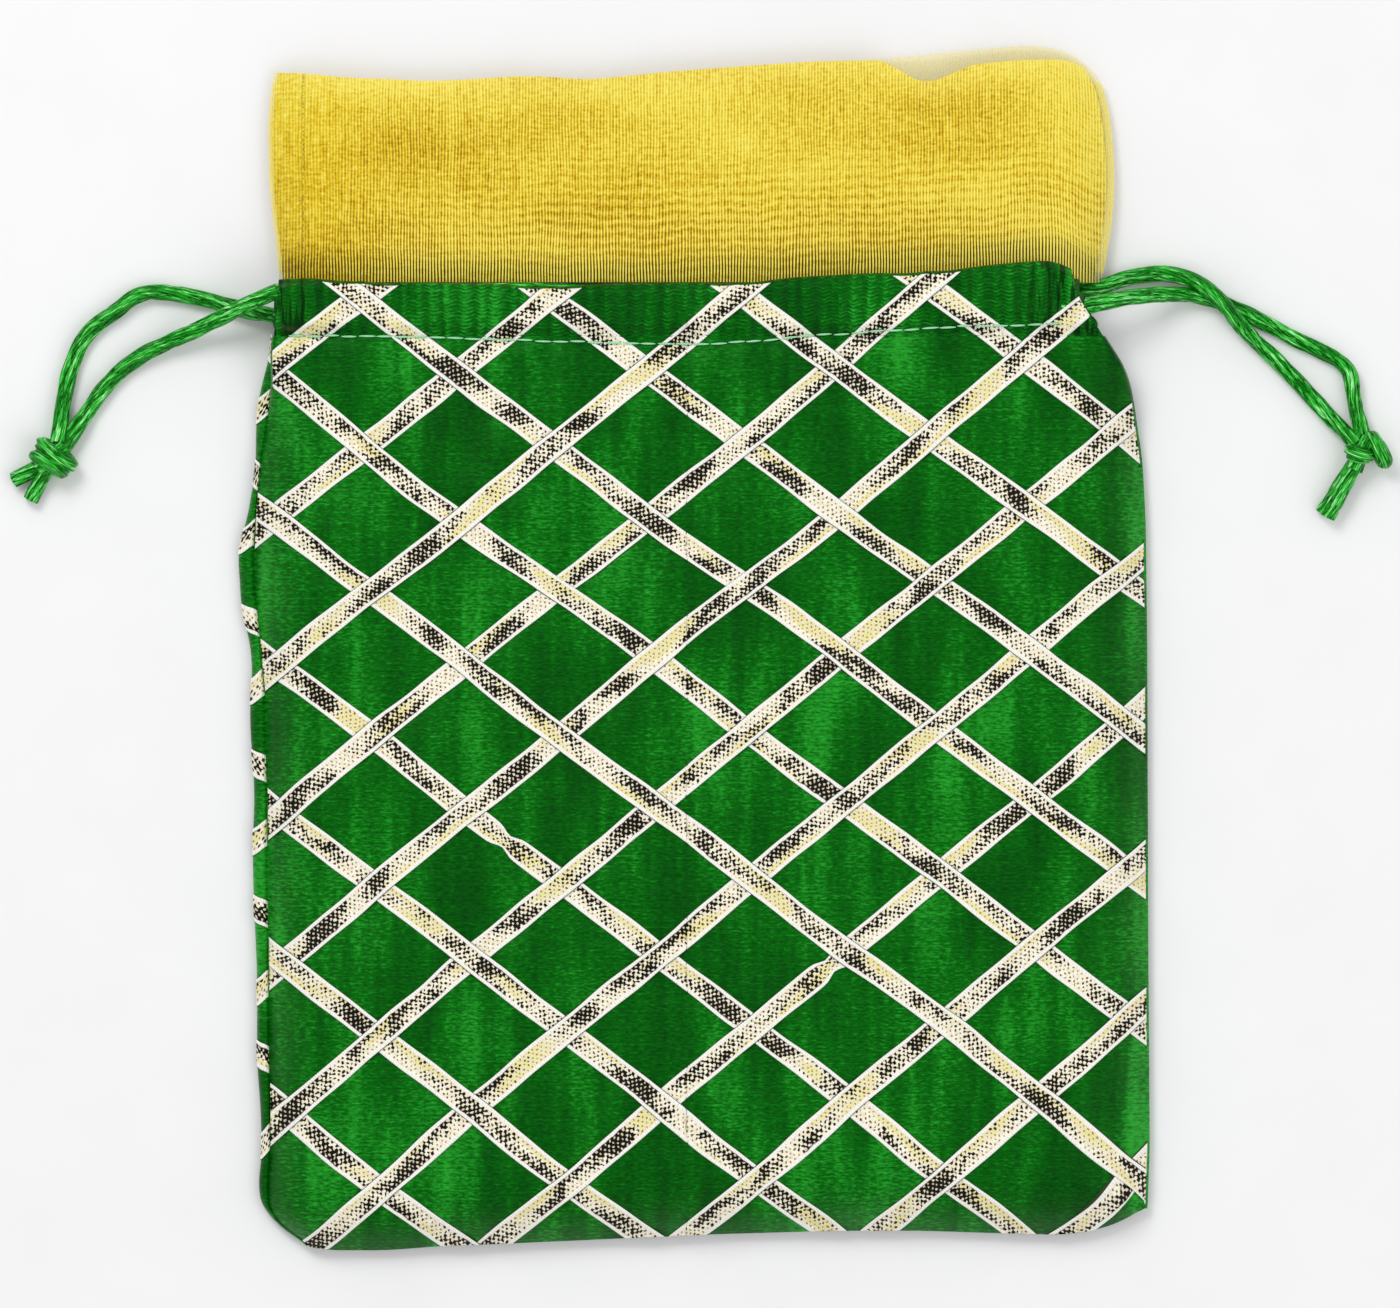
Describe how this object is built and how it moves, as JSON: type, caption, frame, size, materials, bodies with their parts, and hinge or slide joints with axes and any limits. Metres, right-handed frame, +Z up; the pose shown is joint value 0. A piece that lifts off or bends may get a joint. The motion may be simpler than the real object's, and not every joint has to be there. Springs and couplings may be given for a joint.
{
  "type": "fabric gift sack",
  "caption": "Flat drawstring gift sack of green silk with a metallic ribbon lattice, a gold tissue collar and two knotted drawcords at its mouth.",
  "frame": {"origin": "on the table under the middle of the sack, measured without its free cords", "axes": "+X across the sack to its right side, +Y from the bottom seam to the mouth, +Z up from the table through the front panel"},
  "size_m": [0.2755, 0.2408, 0.0139],
  "materials": {
    "green_silk": "satin slub silk",
    "ribbon": "woven metallic ribbon with pale selvedges",
    "gold_tissue": "sheer metallic tissue",
    "stitch_thread": "thick mint thread",
    "cord": "satin cord"
  },
  "bodies": {
    "bag": {"back_casing": "green_silk", "back_casing_stitches": "stitch_thread", "back_collar": "gold_tissue", "back_falling_ribbons": "ribbon", "back_panel": "green_silk", "back_rising_ribbons": "ribbon", "bottom_seam": "green_silk", "front_casing": "green_silk", "front_casing_stitches": "stitch_thread", "front_collar": "gold_tissue", "front_falling_ribbon_01": "ribbon", "front_falling_ribbon_02": "ribbon", "front_falling_ribbon_03": "ribbon", "front_falling_ribbon_04": "ribbon", "front_falling_ribbon_05": "ribbon", "front_falling_ribbon_06": "ribbon", "front_falling_ribbon_07": "ribbon", "front_falling_ribbon_08": "ribbon", "front_falling_ribbon_09": "ribbon", "front_falling_ribbon_10": "ribbon", "front_panel": "green_silk", "front_rising_ribbon_01": "ribbon", "front_rising_ribbon_02": "ribbon", "front_rising_ribbon_03": "ribbon", "front_rising_ribbon_04": "ribbon", "front_rising_ribbon_05": "ribbon", "front_rising_ribbon_06": "ribbon", "front_rising_ribbon_07": "ribbon", "front_rising_ribbon_08": "ribbon", "front_rising_ribbon_09": "ribbon", "front_rising_ribbon_10": "ribbon", "front_rising_ribbon_11": "ribbon", "left_collar_seam": "gold_tissue", "left_side_seam": "green_silk", "right_collar_seam": "gold_tissue", "right_side_seam": "green_silk"},
    "left_mouth": {"left_cord_exit": "green_silk"},
    "right_mouth": {"right_cord_exit": "green_silk"},
    "left_cord": {"left_back_strand": "cord", "left_channel_cord": "cord", "left_cord_tail_1": "cord", "left_cord_tail_2": "cord", "left_front_strand": "cord", "left_knot": "cord"},
    "right_cord": {"right_back_strand": "cord", "right_channel_cord": "cord", "right_cord_tail_1": "cord", "right_cord_tail_2": "cord", "right_front_strand": "cord", "right_knot": "cord"}
  },
  "joints": [
    {"name": "left_cord_pull", "type": "slide", "parent": "bag", "child": "left_cord", "axis": [-1, 0, 0], "range_m": [0, 0.05], "deforming": ["front_casing", "back_casing"]},
    {"name": "right_cord_pull", "type": "slide", "parent": "bag", "child": "right_cord", "axis": [1, 0, 0], "range_m": [0, 0.05]},
    {"name": "left_mouth_close", "type": "slide", "parent": "bag", "child": "left_mouth", "axis": [1, 0, 0], "range_m": [0, 0.05]},
    {"name": "right_mouth_close", "type": "slide", "parent": "bag", "child": "right_mouth", "axis": [-1, 0, 0], "range_m": [0, 0.05]}
  ],
  "couplings": [
    {"joint": "right_cord_pull", "follows": "left_cord_pull", "ratio": 1},
    {"joint": "left_mouth_close", "follows": "left_cord_pull", "ratio": 1},
    {"joint": "right_mouth_close", "follows": "left_cord_pull", "ratio": 1}
  ]
}
